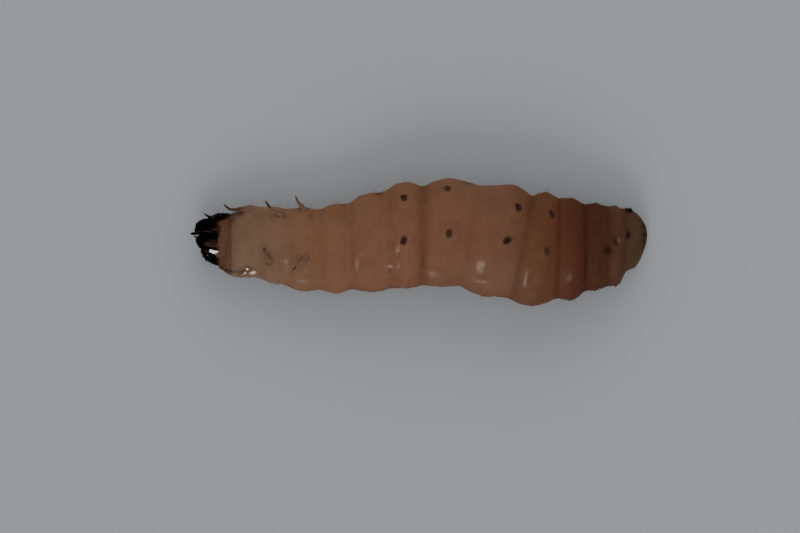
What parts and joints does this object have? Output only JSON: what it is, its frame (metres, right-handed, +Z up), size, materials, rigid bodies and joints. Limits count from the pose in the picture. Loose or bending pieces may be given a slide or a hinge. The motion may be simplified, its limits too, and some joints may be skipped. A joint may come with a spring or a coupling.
{
  "type": "currant clearwing larva",
  "caption": "Still, life-size model of a currant clearwing moth larva lying on its back, with a glossy black head, soft ringed body, short legs and prolegs",
  "frame": {"origin": "middle of the underside of the whole larva, at the level of the floor", "axes": "+X along the body from the head to the tail, +Y towards the larva's left side, +Z up, out of its belly"},
  "size_m": [0.015, 0.0042, 0.0034],
  "materials": {
    "head_shell": "smooth, wet-looking black horn of the head capsule",
    "mouthparts": "glossy black-brown horn with paler joints",
    "leg_horn": "translucent brown horn, darker towards the claws",
    "plates": "thin yellow-brown plates, faintly mottled",
    "flesh": "moist, translucent tan-pink skin with fine wrinkles",
    "tail_flesh": "moist grey-brown skin of the last segments"
  },
  "bodies": {
    "root": {"head": "head_shell", "labrum": "mouthparts", "mandible_left": "mouthparts", "mandible_right": "mouthparts", "labium": "mouthparts", "maxilla_left": "mouthparts", "maxilla_right": "mouthparts", "antenna_left": "leg_horn", "antenna_right": "leg_horn", "prothoracic_shield": "plates", "thorax_1": "flesh", "thorax_2": "flesh", "thorax_3": "flesh", "abdomen_1": "flesh", "abdomen_2": "flesh", "abdomen_3": "flesh", "abdomen_4": "flesh", "abdomen_5": "flesh", "abdomen_6": "flesh", "abdomen_7": "flesh", "abdomen_8": "flesh", "abdomen_9": "tail_flesh", "abdomen_10": "tail_flesh", "anal_shield": "plates", "leg_left_1": "leg_horn", "leg_right_1": "leg_horn", "leg_left_2": "leg_horn", "leg_right_2": "leg_horn", "leg_left_3": "leg_horn", "leg_right_3": "leg_horn", "proleg_left_3": "flesh", "proleg_right_3": "flesh", "proleg_left_4": "flesh", "proleg_right_4": "flesh", "proleg_left_5": "flesh", "proleg_right_5": "flesh", "proleg_left_6": "flesh", "proleg_right_6": "flesh", "anal_proleg_left": "tail_flesh", "anal_proleg_right": "tail_flesh"}
  },
  "joints": []
}
